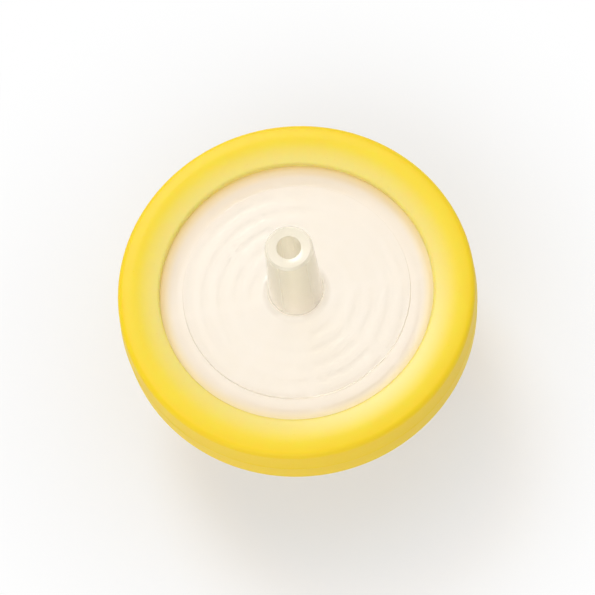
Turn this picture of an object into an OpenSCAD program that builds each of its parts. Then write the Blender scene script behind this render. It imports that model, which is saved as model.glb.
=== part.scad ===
// Syringe filter, 25 mm: two translucent housing halves clamp a white nylon
// membrane, and a yellow ring moulded over their rims holds and seals them.
// Liquid comes in at the bottom and leaves at the top. Z = 0 is the inlet's mouth.

/* [Membrane] */
// Diameter of the membrane disc
membrane_d = 25; // [24:0.1:26]
// Thickness of the membrane
membrane_t = 0.12; // [0.1:0.01:0.2]
// Gap between the membrane's edge and the wall around it
membrane_gap = 0.1; // [0.06:0.01:0.15]

/* [Housing halves] */
// Thickness of each end plate
plate_t = 1.4; // [1.1:0.05:1.7]
// Depth of the flow chamber on each side of the membrane
chamber_h = 0.3; // [0.2:0.05:0.4]
// Width of the band that clamps the membrane's edge
clamp_w = 1.3; // [0.8:0.1:1.8]
// Thickness of the inlet half's wall around the membrane
rim_wall = 0.8; // [0.6:0.05:1.2]
// Depth that the outlet half's spigot goes into that wall
nest_depth = 0.8; // [0.5:0.1:1.1]
// Radial clearance of the spigot in that wall
nest_gap = 0.05; // [0.02:0.01:0.06]

/* [Inlet hub, female luer lock] */
// Length of the hub outside the inlet plate
hub_l = 10.7; // [10:0.1:13]
// Outside diameter of the hub
hub_d = 6.7; // [6.4:0.05:7.1]
// Radius of the fillet where the hub meets the plate
hub_fillet = 0.8; // [0.3:0.1:1.2]
// Diameter of the tapered socket at its mouth
socket_mouth_d = 4.27; // [4.22:0.01:4.32]
// Length of the socket's taper
taper_l = 8; // [7.5:0.1:8.2]
// Thickness of the floor between the socket and the chamber
socket_floor = 2.2; // [1.8:0.1:2.5]
// Chamfer at the socket's mouth
socket_chamfer = 0.15; // [0.05:0.05:0.3]
// Diameter of the passage from the socket into the chamber
inlet_bore_d = 2.2; // [1.6:0.1:2.6]
// Diameter across the two locking lugs
lug_d = 7.8; // [7.6:0.01:7.85]
// Width of each lug
lug_w = 3.3; // [2.7:0.1:3.5]
// Height of each lug at its outer end
lug_h = 0.9; // [0.7:0.05:1.2]
// Rise of the lug's upper side towards the hub
lug_slope = 0.35; // [0.1:0.05:0.6]

/* [Outlet nozzle, male luer slip] */
// Length of the nozzle outside the outlet plate
nozzle_l = 9.8; // [8.5:0.1:12]
// Outside diameter of the nozzle at its tip
nozzle_tip_d = 3.96; // [3.92:0.01:4]
// Chamfer around the nozzle's tip
nozzle_chamfer = 0.2; // [0.1:0.05:0.3]
// Radius of the fillet where the nozzle meets the plate
nozzle_fillet = 0.7; // [0.3:0.1:1.2]
// Diameter of the passage through the nozzle
outlet_bore_d = 2; // [1.5:0.1:2.4]
// Diameter of the raised pad on the outlet plate
pad_d = 19; // [16:0.5:20]
// Height of that pad
pad_h = 0.25; // [0.1:0.05:0.4]

/* [Ribs in the chambers] */
// Number of radial flow ribs in the inlet half
flow_ribs = 12; // [8:2:16]
// Width of a flow rib
flow_rib_w = 0.6; // [0.4:0.05:0.8]
// Radius at which the flow ribs start
flow_rib_start = 2.4; // [2:0.1:4]
// Width of a support ring in the outlet half
support_w = 0.5; // [0.4:0.05:0.7]
// Distance from one support ring to the next
support_pitch = 1.35; // [1.2:0.05:2]
// Number of radial drain channels through the support rings
drains = 8; // [4:2:12]
// Width of a drain channel
drain_w = 0.8; // [0.5:0.1:1]

/* [Yellow ring] */
// Thickness of the ring outside the housing's rim
ring_wall = 1.6; // [1.2:0.1:2.4]
// Thickness of the lips that the ring folds over both plates
lip_t = 0.84; // [0.6:0.02:1.1]
// Diameter of the opening that the ring leaves on the outlet side
outlet_window_d = 22.8; // [21:0.1:23.2]
// Diameter of the opening that the ring leaves on the inlet side
inlet_window_d = 21.4; // [20.4:0.1:23.2]
// Radius of the ring's two outer edges
ring_round = 0.5; // [0.3:0.05:0.8]
// Radius of the lips' inner edges
lip_round = 0.3; // [0.1:0.05:0.4]

/* [Hidden] */
$fn = 128;

// A luer cone changes by 6 % of its length in diameter
LUER_TAPER = 0.06;
// Overlap that joins the shapes within one piece, and lets cuts run past a face
JOIN = 0.05;
PASS = 1;

CLEAR_PLASTIC = [0.93, 0.92, 0.87, 0.55];
WHITE_NYLON = [0.98, 0.96, 0.92];
YELLOW_PLASTIC = [0.97, 0.86, 0.15];

// Radii
chamber_r = membrane_d / 2 - clamp_w;
rim_r = membrane_d / 2 + membrane_gap;
housing_r = rim_r + rim_wall;
spigot_r = rim_r - nest_gap;
ring_r = housing_r + ring_wall;
hub_r = hub_d / 2;
socket_mouth_r = socket_mouth_d / 2;
socket_end_r = socket_mouth_r - LUER_TAPER / 2 * taper_l;

// Heights, from the inlet's mouth upwards
inlet_face_z = hub_l;
inlet_floor_z = inlet_face_z + plate_t;
socket_end_z = inlet_floor_z - socket_floor;
seat_z = inlet_floor_z + chamber_h;
press_z = seat_z + membrane_t;
rim_top_z = press_z + nest_depth;
outlet_floor_z = press_z + chamber_h;
outlet_face_z = outlet_floor_z + plate_t;
pad_z = outlet_face_z + pad_h;
tip_z = outlet_face_z + nozzle_l;
ring_bottom_z = inlet_face_z - lip_t;
ring_top_z = outlet_face_z + lip_t;

// Radius of the nozzle's cone at a height
function nozzle_r(z) = nozzle_tip_d / 2 + LUER_TAPER / 2 * (tip_z - z);

// A rectangle between two radii and two heights
module band(r0, r1, z0, z1) {
    translate([r0, z0]) square([r1 - r0, z1 - z0]);
}

// Fills the corner between +X and +Y with a fillet
module fillet(r) {
    difference() {
        translate([-JOIN, -JOIN]) square(r + JOIN);
        translate([r, r]) circle(r);
    }
}

// What has to be cut off the corner between +X and +Y to round it
module rounding(r) {
    difference() {
        translate([-PASS, -PASS]) square(r + PASS);
        translate([r, r]) circle(r);
    }
}

module inlet_housing() {
    color(CLEAR_PLASTIC) {
        difference() {
            union() {
                rotate_extrude() inlet_profile();
                locking_lugs();
            }
            inlet_passage();
        }
        inlet_flow_ribs();
    }
}

// Hub, plate, clamping band and the wall around the membrane
module inlet_profile() {
    band(0, hub_r, 0, inlet_face_z + JOIN);
    translate([hub_r, inlet_face_z]) mirror([0, 1]) fillet(hub_fillet);
    band(0, housing_r, inlet_face_z, inlet_floor_z);
    band(chamber_r, housing_r, inlet_floor_z - JOIN, seat_z);
    band(rim_r, housing_r, seat_z - JOIN, rim_top_z);
}

// Two lugs at the mouth, on one ring that is trimmed to their width
module locking_lugs() {
    intersection() {
        rotate_extrude() polygon([
            [socket_mouth_r + JOIN, 0],
            [lug_d / 2, 0],
            [lug_d / 2, lug_h],
            [hub_r, lug_h + lug_slope],
            [socket_mouth_r + JOIN, lug_h + lug_slope],
        ]);
        translate([-lug_d, -lug_w / 2, -PASS])
            cube([2 * lug_d, lug_w, lug_h + lug_slope + 2 * PASS]);
    }
}

// Chamfered mouth, taper, the straight land behind it and the passage into the chamber
module inlet_passage() {
    rotate_extrude() polygon([
        [0, -PASS],
        [socket_mouth_r + socket_chamfer, -PASS],
        [socket_mouth_r + socket_chamfer, 0],
        [socket_mouth_r - LUER_TAPER / 2 * socket_chamfer, socket_chamfer],
        [socket_end_r, taper_l],
        [socket_end_r, socket_end_z],
        [inlet_bore_d / 2, socket_end_z],
        [inlet_bore_d / 2, inlet_floor_z + PASS],
        [0, inlet_floor_z + PASS],
    ]);
}

// Spokes that carry the membrane and spread the liquid over it
module inlet_flow_ribs() {
    for (i = [0 : flow_ribs - 1])
        rotate((i + 0.5) * 360 / flow_ribs)
            translate([flow_rib_start, -flow_rib_w / 2, inlet_floor_z - JOIN])
                cube([chamber_r - flow_rib_start + JOIN, flow_rib_w, chamber_h + JOIN]);
}

module membrane() {
    color(WHITE_NYLON)
        translate([0, 0, seat_z]) cylinder(h = membrane_t, d = membrane_d);
}

module outlet_housing() {
    color(CLEAR_PLASTIC) {
        difference() {
            rotate_extrude() outlet_profile();
            translate([0, 0, press_z - PASS])
                cylinder(h = tip_z - press_z + 2 * PASS, d = outlet_bore_d);
        }
        support_rings();
    }
}

// Spigot, plate, pad and the tapered nozzle
module outlet_profile() {
    band(chamber_r, spigot_r, press_z, outlet_face_z);
    band(chamber_r, housing_r, rim_top_z, outlet_face_z);
    band(0, spigot_r, outlet_floor_z, outlet_face_z);
    band(0, pad_d / 2, outlet_face_z - JOIN, pad_z);
    polygon([
        [0, outlet_face_z - JOIN],
        [nozzle_r(outlet_face_z - JOIN), outlet_face_z - JOIN],
        [nozzle_r(tip_z - nozzle_chamfer), tip_z - nozzle_chamfer],
        [nozzle_r(tip_z) - nozzle_chamfer, tip_z],
        [0, tip_z],
    ]);
    translate([nozzle_r(pad_z + nozzle_fillet), pad_z]) fillet(nozzle_fillet);
}

// Rings that back the membrane, cut by channels that lead the filtrate inwards
module support_rings() {
    first_r = outlet_bore_d / 2 + support_pitch;
    difference() {
        rotate_extrude()
            for (r = [first_r : support_pitch : chamber_r - support_w])
                band(r - support_w / 2, r + support_w / 2, press_z, outlet_floor_z + JOIN);
        for (i = [0 : drains - 1])
            rotate(i * 360 / drains)
                translate([0, -drain_w / 2, press_z - PASS])
                    cube([chamber_r, drain_w, chamber_h + 2 * PASS]);
    }
}

module overmould_ring() {
    color(YELLOW_PLASTIC)
        rotate_extrude() ring_profile();
}

// A closed collar around both rims, with a lip folded over each plate
module ring_profile() {
    difference() {
        union() {
            band(housing_r, ring_r, ring_bottom_z, ring_top_z);
            band(outlet_window_d / 2, housing_r + JOIN, outlet_face_z, ring_top_z);
            band(inlet_window_d / 2, housing_r + JOIN, ring_bottom_z, inlet_face_z);
        }
        translate([ring_r, ring_top_z]) rotate(180) rounding(ring_round);
        translate([ring_r, ring_bottom_z]) rotate(90) rounding(ring_round);
        translate([outlet_window_d / 2, ring_top_z]) rotate(-90) rounding(lip_round);
        translate([inlet_window_d / 2, ring_bottom_z]) rounding(lip_round);
    }
}

inlet_housing();
membrane();
outlet_housing();
overmould_ring();
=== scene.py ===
import math

import bpy
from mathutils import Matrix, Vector


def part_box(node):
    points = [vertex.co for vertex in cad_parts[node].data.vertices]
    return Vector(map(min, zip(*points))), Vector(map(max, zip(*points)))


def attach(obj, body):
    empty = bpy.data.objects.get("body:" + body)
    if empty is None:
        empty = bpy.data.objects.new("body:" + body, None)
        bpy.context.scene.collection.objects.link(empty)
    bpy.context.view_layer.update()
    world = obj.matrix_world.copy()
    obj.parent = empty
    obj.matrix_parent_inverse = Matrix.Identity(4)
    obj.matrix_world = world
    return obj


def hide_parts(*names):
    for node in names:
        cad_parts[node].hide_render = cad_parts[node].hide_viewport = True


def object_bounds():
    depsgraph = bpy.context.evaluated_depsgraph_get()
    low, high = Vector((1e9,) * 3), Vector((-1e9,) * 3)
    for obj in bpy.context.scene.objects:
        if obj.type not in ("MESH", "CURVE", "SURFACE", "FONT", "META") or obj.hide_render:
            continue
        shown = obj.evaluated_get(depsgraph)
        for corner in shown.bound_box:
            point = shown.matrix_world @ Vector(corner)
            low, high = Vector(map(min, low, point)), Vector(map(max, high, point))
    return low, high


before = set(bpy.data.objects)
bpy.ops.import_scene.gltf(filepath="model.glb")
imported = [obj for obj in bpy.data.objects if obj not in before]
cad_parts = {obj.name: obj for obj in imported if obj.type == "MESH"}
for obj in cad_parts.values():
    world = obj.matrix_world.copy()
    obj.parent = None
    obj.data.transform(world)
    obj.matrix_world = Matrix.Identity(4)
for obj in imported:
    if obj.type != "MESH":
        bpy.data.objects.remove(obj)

cad_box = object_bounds()


# === Inlet housing ===============================================================
# The lower half, moulded in one shot from natural polypropylene: the hub with its
# female luer socket and two locking lugs, the end plate, the flow ribs on it, and
# the wall that the membrane lies in. Sizes are in millimetres.

MM = 0.001
FACETS = 128  # around the axis
LUER_SLOPE = 0.03  # change of a luer cone's radius along its length
SLIT = 0.01  # between two clear pieces, so that each surface is seen once
EDGE_BREAK = 0.05  # what the mould leaves of a sharp edge

inlet_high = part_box("inlet_housing")[1] / MM
sheet_low, sheet_high = [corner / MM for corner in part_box("membrane")]
housing_r = inlet_high.x
rim_top_z = inlet_high.z
seat_z = sheet_low.z
press_z = sheet_high.z

plate_t = 1.4
chamber_h = 0.3
clamp_w = 1.3
rim_wall = 0.8
chamber_r = sheet_high.x - clamp_w
rim_r = housing_r - rim_wall
inlet_floor_z = seat_z - chamber_h
inlet_face_z = inlet_floor_z - plate_t

hub_r = 3.35
hub_fillet = 0.8
socket_mouth_r = 2.135
socket_chamfer = 0.15
taper_l = 8
socket_end_r = socket_mouth_r - LUER_SLOPE * taper_l
socket_floor = 2.2
socket_end_z = inlet_floor_z - socket_floor
inlet_bore_r = 1.1

lug_r = 3.9
lug_w = 3.3
lug_h = 0.9
lug_slope = 0.35
lug_root_r = hub_r - 0.6  # inside the hub's wall
lug_lift = 0.02  # keeps the lugs clear of the mouth's own face
lug_edge = 0.12

flow_ribs = 12
flow_rib_w = 0.6
flow_rib_start = 2.4
flow_rib_depth = 0.1  # sunk into the plate
flow_rib_reach = 0.2  # run into the clamping band
flow_rib_edge = 0.08


def arc(centre, radius, start, stop, steps=8):
    """Points (r, z) of an arc around a centre, from one angle to another in degrees."""
    angles = [math.radians(start + (stop - start) * i / steps) for i in range(steps + 1)]
    return [(centre[0] + radius * math.cos(a), centre[1] + radius * math.sin(a)) for a in angles]


def turned(name, outline):
    """A solid turned about Z: one rim, extruded and scaled from point to point of an outline.
    An outline that ends where it began closes on itself, and any other is capped at both ends."""
    bpy.ops.object.select_all(action="DESELECT")
    r, z = outline[0]
    bpy.ops.mesh.primitive_circle_add(vertices=FACETS, radius=r * MM, location=(0, 0, z * MM))
    piece = bpy.context.object
    piece.name = name
    bpy.ops.object.mode_set(mode="EDIT")
    bpy.ops.mesh.select_all(action="SELECT")
    for next_r, next_z in outline[1:]:
        rise = (0, 0, (next_z - z) * MM)
        bpy.ops.mesh.extrude_edges_move(TRANSFORM_OT_translate={"value": rise})
        grow = next_r / r
        bpy.ops.transform.resize(value=(grow, grow, 1), center_override=(0, 0, next_z * MM))
        r, z = next_r, next_z
    bpy.ops.mesh.select_all(action="SELECT")
    bpy.ops.mesh.remove_doubles(threshold=0.001 * MM)
    bpy.ops.mesh.select_all(action="DESELECT")
    bpy.ops.mesh.select_non_manifold()
    bpy.ops.mesh.fill_holes(sides=0)
    bpy.ops.mesh.select_all(action="SELECT")
    bpy.ops.mesh.normals_make_consistent(inside=False)
    bpy.ops.object.mode_set(mode="OBJECT")
    bpy.ops.object.transform_apply()
    return piece


def bar(start, end, width, low_z, high_z, turn=0):
    """A straight bar that runs outwards between two radii, at an angle about Z in degrees."""
    bpy.ops.object.select_all(action="DESELECT")
    angle = math.radians(turn)
    middle_r = (start + end) / 2
    centre = Vector((middle_r * math.cos(angle), middle_r * math.sin(angle), (low_z + high_z) / 2))
    bpy.ops.mesh.primitive_cube_add(
        size=MM,
        location=centre * MM,
        rotation=(0, 0, angle),
        scale=(end - start, width, high_z - low_z),
    )
    bpy.ops.object.transform_apply()
    return bpy.context.object


def repeated(piece, count):
    """Copies a piece around Z until there are count of it, all in its own mesh."""
    bpy.context.view_layer.objects.active = piece
    bpy.ops.object.mode_set(mode="EDIT")
    bpy.ops.mesh.select_all(action="SELECT")
    sweep = math.tau * (count - 1) / count
    bpy.ops.mesh.spin(steps=count - 1, angle=sweep, dupli=True, axis=(0, 0, 1))
    bpy.ops.object.mode_set(mode="OBJECT")
    return piece


def applied(piece, kind, **settings):
    """Gives a piece one modifier and applies it."""
    modifier = piece.modifiers.new(kind.lower(), kind)
    for setting, value in settings.items():
        setattr(modifier, setting, value)
    bpy.context.view_layer.objects.active = piece
    bpy.ops.object.modifier_apply(modifier=modifier.name)


def combined(piece, tool, operation):
    """Joins, cuts or trims a piece with a tool, which is gone afterwards."""
    applied(piece, "BOOLEAN", operation=operation, object=tool, solver="EXACT")
    bpy.data.objects.remove(tool)


def softened(piece, width):
    """Rounds every edge sharper than 50 degrees, as a mould leaves it."""
    applied(
        piece,
        "BEVEL",
        width=width * MM,
        segments=3,
        limit_method="ANGLE",
        angle_limit=math.radians(50),
    )


def shaded(piece):
    """Smooth over curves and sharp at corners of over 40 degrees, with flat faces kept flat."""
    bpy.ops.object.select_all(action="DESELECT")
    piece.select_set(True)
    bpy.context.view_layer.objects.active = piece
    bpy.ops.object.shade_smooth_by_angle(angle=math.radians(40))
    applied(piece, "WEIGHTED_NORMAL", keep_sharp=True)


inlet_shell = turned("inlet_shell", [
    (socket_mouth_r + socket_chamfer, 0),
    (hub_r, 0),
    *arc((hub_r + hub_fillet, inlet_face_z - hub_fillet), hub_fillet, 180, 90),
    (housing_r, inlet_face_z),
    (housing_r, rim_top_z - SLIT),
    (rim_r, rim_top_z - SLIT),
    (rim_r, seat_z - SLIT),
    (chamber_r, seat_z - SLIT),
    (chamber_r, inlet_floor_z),
    (inlet_bore_r, inlet_floor_z),
    (inlet_bore_r, socket_end_z),
    (socket_end_r, socket_end_z),
    (socket_end_r, taper_l),
    (socket_mouth_r, socket_chamfer),
    (socket_mouth_r + socket_chamfer, 0),
])
softened(inlet_shell, EDGE_BREAK)

lugs = turned("lugs", [
    (lug_root_r, lug_lift),
    (lug_r, lug_lift),
    (lug_r, lug_h),
    (hub_r, lug_h + lug_slope),
    (lug_root_r, lug_h + lug_slope),
    (lug_root_r, lug_lift),
])
combined(lugs, bar(-2 * lug_r, 2 * lug_r, lug_w, -lug_h, 3 * lug_h), "INTERSECT")
softened(lugs, lug_edge)
combined(inlet_shell, lugs, "UNION")

rib = bar(
    flow_rib_start,
    chamber_r + flow_rib_reach,
    flow_rib_w,
    inlet_floor_z - flow_rib_depth,
    seat_z - 2 * SLIT,
    turn=180 / flow_ribs,
)
applied(rib, "BEVEL", width=flow_rib_edge * MM, segments=2)
combined(inlet_shell, repeated(rib, flow_ribs), "UNION")
shaded(inlet_shell)


class Wire:
    """A node's output. Arithmetic on it adds Math nodes."""

    def __init__(self, finish, socket):
        self.finish = finish
        self.socket = socket

    def maths(self, operation, first, second):
        return self.finish.node("Math", {0: first, 1: second}, operation=operation)

    def __add__(self, other):
        return self.maths("ADD", self, other)

    def __rsub__(self, other):
        return self.maths("SUBTRACT", other, self)

    def __mul__(self, other):
        return self.maths("MULTIPLY", self, other)

    def __truediv__(self, other):
        return self.maths("DIVIDE", self, other)

    def __pow__(self, other):
        return self.maths("POWER", self, other)

    __radd__ = __add__
    __rmul__ = __mul__


class Finish:
    """The nodes of a material or of the surround. Every pattern reads Object coordinates."""

    def __init__(self, owner):
        self.owner = owner
        owner.use_nodes = True
        self.tree = owner.node_tree
        self.tree.nodes.clear()

    def node(self, kind, sockets=None, output=0, **settings):
        """Adds one node, sets it, feeds its sockets, and gives back one of its outputs."""
        made = self.tree.nodes.new("ShaderNode" + kind)
        for setting, value in settings.items():
            setattr(made, setting, value)
        for key, value in (sockets or {}).items():
            if isinstance(value, Wire):
                self.tree.links.new(value.socket, made.inputs[key])
            else:
                made.inputs[key].default_value = value
        return Wire(self, made.outputs[output])

    def place(self):
        """Where a point lies on its piece, in metres."""
        return self.node("TexCoord", output="Object")

    def along(self, axis):
        """Distance along X, Y or Z, in mm."""
        return self.node("SeparateXYZ", {0: self.place()}, output=axis) / MM

    def radius(self):
        """Distance from the axis, in mm."""
        x = self.along("X")
        y = self.along("Y")
        return (x * x + y * y) ** 0.5

    def noise(self, size, detail):
        """Noise from 0 to 1 whose features are about size mm across."""
        spread = 1 / (size * MM)
        return self.node("TexNoise", {"Vector": self.place(), "Scale": spread, "Detail": detail})

    def step(self, value, start, end):
        """Rises smoothly from 0 to 1 as value goes from start to end."""
        return self.node(
            "MapRange",
            {"Value": value, "From Min": start, "From Max": end},
            interpolation_type="SMOOTHSTEP",
        )

    def blend(self, share, first, second):
        """Mixes two colours."""
        return self.node("Mix", {0: share, 6: first, 7: second}, output=2, data_type="RGBA")

    def bump(self, height, depth):
        """A normal from a height of 0 to 1 that stands for a depth in mm."""
        return self.node("Bump", {"Height": height, "Distance": depth * MM})

    def ray(self, kind):
        """1 for one kind of ray, and 0 for the others."""
        return self.node("LightPath", output=f"Is {kind} Ray")

    def finished(self, shader, output="OutputMaterial"):
        """Links a shader to the output and gives back what the nodes belong to."""
        result = self.tree.nodes.new("ShaderNode" + output)
        self.tree.links.new(shader.socket, result.inputs["Surface"])
        return self.owner


def natural_polypropylene():
    """Unpigmented: clear enough to see through in a thin wall, with a warm milky haze. The hub and the
    nozzle are glossier than the plates, and the plate beside the ring's lip is painted with a yellow
    glow.
    Lamps and scattered light go straight through, so that what it covers is lit."""
    milky = (0.98, 0.935, 0.82, 1)
    clearer = (0.99, 0.96, 0.88, 1)
    nozzle_tint = (0.99, 0.95, 0.79, 1)
    painted_lip_glow = (0.995, 0.9, 0.52, 1)
    let_through = (0.985, 0.975, 0.955, 1)
    plates_top_z = press_z + 1.9
    nozzle_foot_z = press_z + 2.6
    glow_start_r = chamber_r - 0.9
    glow_full_r = chamber_r + 0.3

    finish = Finish(bpy.data.materials.new("natural_polypropylene"))
    haze = finish.noise(2.5, 2)
    skin = finish.noise(0.35, 3)
    height = finish.along("Z")
    over_hub = finish.step(height, inlet_face_z - hub_fillet, inlet_face_z)
    over_plates = finish.step(height, plates_top_z, nozzle_foot_z)
    plates = over_hub * (1 - over_plates)
    # Painted glow: the plate next to the ring's lip is painted yellow-cream, as if lit through the lip.
    lip_glow_share = finish.step(finish.radius(), glow_start_r, glow_full_r)
    colour = finish.blend(haze, milky, clearer)
    colour = finish.blend(over_plates, colour, nozzle_tint)
    colour = finish.blend(lip_glow_share, colour, painted_lip_glow)
    plastic = finish.node("BsdfPrincipled", {
        "Base Color": colour,
        "Roughness": 0.16 + plates * 0.16 + over_plates * 0.04 + haze * 0.06,
        "IOR": 1.49,
        "Transmission Weight": 0.65,
        "Coat Weight": 0.6 - plates * 0.4,
        "Coat Roughness": 0.06,
        "Normal": finish.bump(skin, 0.004),
    })
    clear = finish.node("BsdfTransparent", {"Color": let_through})
    for kind in ("Diffuse", "Shadow"):
        plastic = finish.node("MixShader", {0: finish.ray(kind), 1: plastic, 2: clear})
    return finish.finished(plastic)


clear_plastic = natural_polypropylene()
inlet_shell.data.materials.append(clear_plastic)
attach(inlet_shell, "root")
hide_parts("inlet_housing")


# === Membrane ====================================================================
# A disc of white microporous nylon, punched from a sheet. It lies flat against the
# support rings, sinks a little between them and is pinched flat at its edge.

sheet_r = sheet_high.x
sheet_core_r = 0.4  # where the turning starts, under a flat cap
outlet_bore_r = 1
support_pitch = 1.35
support_first_r = outlet_bore_r + support_pitch
sag = 0.02
sag_fade = 0.4  # the width that it takes to die away at the clamped edge


def sheet_outline():
    """Over the top from the middle to the edge, and back underneath."""
    steps = 72
    top = []
    for i in range(steps + 1):
        r = sheet_core_r + (sheet_r - sheet_core_r) * i / steps
        free = min(1, max(0, (chamber_r - r) / sag_fade))
        wave = (1 - math.cos(math.tau * (r - support_first_r) / support_pitch)) / 2
        top.append((r, press_z - SLIT - sag * free * wave))
    return top + [(sheet_r, seat_z), (sheet_core_r, seat_z)]


membrane_sheet = turned("membrane_sheet", sheet_outline())
shaded(membrane_sheet)


def microporous_nylon():
    """Matt and warm white, with the fine tooth and the faint clouds of a cast microporous sheet."""
    shade = (0.95, 0.832, 0.8, 1)
    light = (0.965, 0.866, 0.845, 1)

    finish = Finish(bpy.data.materials.new("microporous_nylon"))
    clouds = finish.noise(3.5, 3)
    tooth = finish.noise(0.09, 4)
    return finish.finished(finish.node("BsdfPrincipled", {
        "Base Color": finish.blend(clouds, shade, light),
        "Roughness": 0.85 + tooth * 0.1,
        "Specular IOR Level": 0.25,
        "Normal": finish.bump(tooth, 0.012),
    }))


membrane_sheet.data.materials.append(microporous_nylon())
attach(membrane_sheet, "root")
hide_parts("membrane")


# === Outlet housing ==============================================================
# The upper half, of the same plastic: the end plate with its raised pad, the male
# luer nozzle, the spigot that presses on the membrane's edge, and the rings that
# support the membrane, with channels through them that lead to the bore.

tip_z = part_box("outlet_housing")[1].z / MM
outlet_floor_z = press_z + chamber_h
outlet_face_z = outlet_floor_z + plate_t
pad_r = 9.5
pad_h = 0.25
pad_z = outlet_face_z + pad_h
nozzle_tip_r = 1.98
nozzle_chamfer = 0.2
nozzle_fillet = 0.7
fillet_z = pad_z + nozzle_fillet
spigot_gap = 0.05
spigot_r = rim_r - spigot_gap
support_w = 0.5
drains = 8
drain_w = 0.8
drain_start = 1.6
drain_margin = 0.1  # left at the chamber's wall, and cut below the rings


def nozzle_r(z):
    """Radius of the nozzle's cone at a height."""
    return nozzle_tip_r + LUER_SLOPE * (tip_z - z)


def support_outline():
    """Down, across and up again for each support ring, from the outermost to the bore."""
    rings = int((chamber_r - support_w - support_first_r) / support_pitch) + 1
    points = []
    for i in reversed(range(rings)):
        r = support_first_r + i * support_pitch
        outer = r + support_w / 2
        inner = r - support_w / 2
        points += [(outer, outlet_floor_z), (outer, press_z), (inner, press_z), (inner, outlet_floor_z)]
    return points


outlet_shell = turned("outlet_shell", [
    (outlet_bore_r, tip_z),
    (nozzle_tip_r - nozzle_chamfer, tip_z),
    (nozzle_r(tip_z - nozzle_chamfer), tip_z - nozzle_chamfer),
    *arc((nozzle_r(fillet_z) + nozzle_fillet, fillet_z), nozzle_fillet, 180, 270),
    (pad_r, pad_z),
    (pad_r, outlet_face_z),
    (housing_r, outlet_face_z),
    (housing_r, rim_top_z + SLIT),
    (spigot_r, rim_top_z + SLIT),
    (spigot_r, press_z),
    (chamber_r, press_z),
    (chamber_r, outlet_floor_z),
    *support_outline(),
    (outlet_bore_r, outlet_floor_z),
    (outlet_bore_r, tip_z),
])
softened(outlet_shell, EDGE_BREAK)

channel = bar(
    drain_start,
    chamber_r - drain_margin,
    drain_w,
    press_z - drain_margin,
    outlet_floor_z + SLIT,
)
combined(outlet_shell, repeated(channel, drains), "DIFFERENCE")
shaded(outlet_shell)
outlet_shell.data.materials.append(clear_plastic)
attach(outlet_shell, "root")
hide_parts("outlet_housing")


# === Yellow ring =================================================================
# Yellow polypropylene, moulded around both rims in the second shot, which clamps
# and seals the two halves. The mould parts at mid-height, where it leaves a fine
# line, and each lip is domed, with its crest nearer the outside.

ring_low, ring_high = [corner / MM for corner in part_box("overmould_ring")]
ring_r = ring_high.x
ring_bottom_z = ring_low.z
ring_top_z = ring_high.z
outlet_window_r = 11.4
inlet_window_r = 10.7
ring_round = 0.5
lip_round = 0.3
crest_r = ring_r - 1.3
inner_fall = 0.26  # from a lip's crest to its window
outer_fall = 0.03  # from a lip's crest to the outer edge
draft = 0.06  # by which the wall leans inwards from mid-height
line_height = 0.03
line_foot = 0.06  # half the parting line's width where it rises
line_crest = 0.02  # and at its top
weld = 0.01  # sunk into the housing


def lip_crown(inner_r, outer_r, face_z, outwards):
    """The domed face of a lip, from its inner to its outer edge."""
    inner_steps = 8
    outer_steps = 4
    points = []
    for i in reversed(range(1, inner_steps + 1)):
        across = i / inner_steps
        drop = inner_fall * across ** 1.5
        points.append((crest_r - across * (crest_r - inner_r), face_z - outwards * drop))
    for i in range(outer_steps + 1):
        across = i / outer_steps
        drop = outer_fall * across ** 2
        points.append((crest_r + across * (outer_r - crest_r), face_z - outwards * drop))
    return points


def ring_outline():
    """Up the bore, over the top lip, down the outer wall, and back under the bottom lip."""
    wall_r = ring_r - line_height
    round_r = wall_r - draft - ring_round
    middle_z = (ring_bottom_z + ring_top_z) / 2
    top_edge_z = ring_top_z - outer_fall
    bottom_edge_z = ring_bottom_z + outer_fall
    top_lip_z = ring_top_z - inner_fall
    bottom_lip_z = ring_bottom_z + inner_fall
    return [
        (housing_r - weld, inlet_face_z + weld),
        (housing_r - weld, outlet_face_z - weld),
        (outlet_window_r, outlet_face_z - weld),
        *arc((outlet_window_r + lip_round, top_lip_z - lip_round), lip_round, 180, 90, 6),
        *lip_crown(outlet_window_r + lip_round, round_r, ring_top_z, 1)[1:-1],
        *arc((round_r, top_edge_z - ring_round), ring_round, 90, 0),
        (wall_r, middle_z + line_foot),
        (ring_r, middle_z + line_crest),
        (ring_r, middle_z - line_crest),
        (wall_r, middle_z - line_foot),
        *arc((round_r, bottom_edge_z + ring_round), ring_round, 0, -90),
        *reversed(lip_crown(inlet_window_r + lip_round, round_r, ring_bottom_z, -1)[1:-1]),
        *arc((inlet_window_r + lip_round, bottom_lip_z + lip_round), lip_round, 270, 180, 6),
        (inlet_window_r, inlet_face_z + weld),
        (housing_r - weld, inlet_face_z + weld),
    ]


yellow_ring = turned("yellow_ring", ring_outline())
shaded(yellow_ring)


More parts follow.
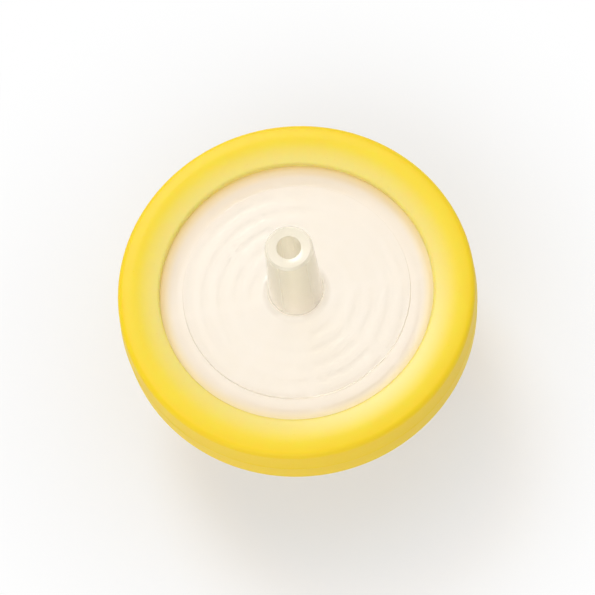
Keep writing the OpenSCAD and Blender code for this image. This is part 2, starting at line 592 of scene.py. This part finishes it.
def yellow_polypropylene():
    """Pigmented and satin, and translucent enough that a lamp's light glows through the thin lips. Near
    the windows' edges it is painted paler, a painted sheen and glow, and the outer wall is painted a
    deeper amber, a painted shade, and is more matt."""
    warm = (0.93, 0.68, 0.010, 1)
    bright = (0.96, 0.73, 0.018, 1)
    painted_lip_sheen = (0.97, 0.77, 0.27, 1)
    painted_wall_shade = (0.97, 0.662, 0.006, 1)
    let_through = (0.75, 0.6, 0.24, 1)
    sheen_start_r = outlet_window_r + 2.3
    sheen_full_r = outlet_window_r + lip_round
    wall_shade_full_r = ring_r - 0.1

    finish = Finish(bpy.data.materials.new("yellow_polypropylene"))
    flow = finish.noise(4, 2)
    skin = finish.noise(0.3, 3)
    waves = finish.noise(1.6, 2)
    # Painted sheen and glow: the inner part of each lip is painted paler, as if lit and glowing.
    painted_sheen = finish.step(finish.radius(), sheen_start_r, sheen_full_r) * 0.7
    # Painted shade: the outer wall is painted a deeper amber, as if in shade; it is also made more
    # matt.
    outer_wall = finish.step(finish.radius(), crest_r, wall_shade_full_r)
    colour = finish.blend(flow, warm, bright)
    colour = finish.blend(painted_sheen, colour, painted_lip_sheen)
    colour = finish.blend(outer_wall, colour, painted_wall_shade)
    plastic = finish.node("BsdfPrincipled", {
        "Base Color": colour,
        "Roughness": 0.24 + skin * 0.12 + outer_wall * 0.18,
        "IOR": 1.49,
        "Specular IOR Level": 0.4,
        "Subsurface Weight": 0.5,
        "Subsurface Radius": (1.0, 0.55, 0.05),
        "Subsurface Scale": 1.5 * MM,
        "Normal": finish.bump(skin * 0.3 + waves, 0.01),
    })
    glow = finish.node("BsdfTransparent", {"Color": let_through})
    return finish.finished(finish.node("MixShader", {0: finish.ray("Shadow"), 1: plastic, 2: glow}))


yellow_ring.data.materials.append(yellow_polypropylene())
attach(yellow_ring, "root")
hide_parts("overmould_ring")


# === Studio ======================================================================
# A pale floor that fades into a white surround, a large soft lamp in front, a large
# weak one above, and a small one behind that gives the lips and the nozzle their
# sheen. The floor can't be seen from underneath.

WHITE = (1, 1, 1, 1)
floor_r = 1200
floor_z = -0.02  # just under the part, so that the two faces don't meet
floor_grey = (0.9, 0.9, 0.9, 1)
fade_start_r = 14
fade_end_r = 38
near_white = 0.35  # how white the floor is before it fades


def in_view(finish):
    """1 or more for what the camera sees, directly or in a shiny or clear surface, and otherwise 0."""
    return finish.ray("Camera") + finish.ray("Glossy") + finish.ray("Transmission")


def pale_floor():
    """Takes the part's shadow near it, and is plain white further out."""
    finish = Finish(bpy.data.materials.new("pale_floor"))
    matt = finish.node("BsdfDiffuse", {"Color": floor_grey})
    white = finish.node("Emission", {"Color": WHITE})
    gone = finish.node("BsdfTransparent", {"Color": WHITE})
    whiteness = near_white + (1 - near_white) * finish.step(finish.radius(), fade_start_r, fade_end_r)
    surface = finish.node("MixShader", {0: whiteness * in_view(finish), 1: matt, 2: white})
    behind = finish.node("NewGeometry", output="Backfacing")
    return finish.finished(finish.node("MixShader", {0: behind, 1: surface, 2: gone}))


bpy.ops.object.select_all(action="DESELECT")
bpy.ops.mesh.primitive_circle_add(
    vertices=96,
    radius=floor_r * MM,
    fill_type="NGON",
    location=(0, 0, floor_z * MM),
)
floor = bpy.context.object
floor.name = "floor"
floor.data.materials.append(pale_floor())

surround = Finish(bpy.data.worlds.new("surround"))
soft_light = surround.node("Background", {"Color": WHITE, "Strength": 0.5})
backdrop = surround.node("Background", {"Color": WHITE})
chosen = surround.node("MixShader", {0: in_view(surround), 1: soft_light, 2: backdrop})
bpy.context.scene.world = surround.finished(chosen, "OutputWorld")

middle = (cad_box[0] + cad_box[1]) / 2


def towards(azimuth, elevation):
    """A direction from its azimuth, counted from the front, and its elevation, in degrees."""
    a = math.radians(azimuth)
    e = math.radians(elevation)
    return Vector((math.sin(a) * math.cos(e), -math.cos(a) * math.cos(e), math.sin(e)))


def soft_lamp(name, azimuth, elevation, distance, size, power):
    """A square lamp that looks at the part, with its distance and size in metres."""
    away = towards(azimuth, elevation)
    data = bpy.data.lights.new(name, "AREA")
    data.size = size
    data.energy = power
    lamp = bpy.data.objects.new(name, data)
    lamp.location = middle + away * distance
    lamp.rotation_euler = away.to_track_quat("Z", "Y").to_euler()
    bpy.context.collection.objects.link(lamp)


soft_lamp("top_lamp", azimuth=150, elevation=76, distance=0.6, size=0.4, power=0.3)
soft_lamp("back_lamp", azimuth=196, elevation=50, distance=0.5, size=0.18, power=0.85)
soft_lamp("front_lamp", azimuth=-25, elevation=40, distance=0.6, size=0.45, power=1.05)

CAMERA_ELEVATION = 68
CAMERA_DISTANCE = 0.4
CAMERA_ROLL = -10
CAMERA_LENS = 290
AIM_RISE = 1  # above the part's middle, in mm

camera_data = bpy.data.cameras.new("camera")
camera_data.lens = CAMERA_LENS
camera_data.clip_start = 0.01
camera = bpy.data.objects.new("camera", camera_data)
away = towards(0, CAMERA_ELEVATION)
camera.location = middle + Vector((0, 0, AIM_RISE * MM)) + away * CAMERA_DISTANCE
camera.rotation_euler = away.to_track_quat("Z", "Y").to_euler()
camera.rotation_euler.rotate_axis("Z", math.radians(CAMERA_ROLL))
bpy.context.collection.objects.link(camera)
bpy.context.scene.camera = camera
bpy.context.scene.view_settings.view_transform = "Standard"
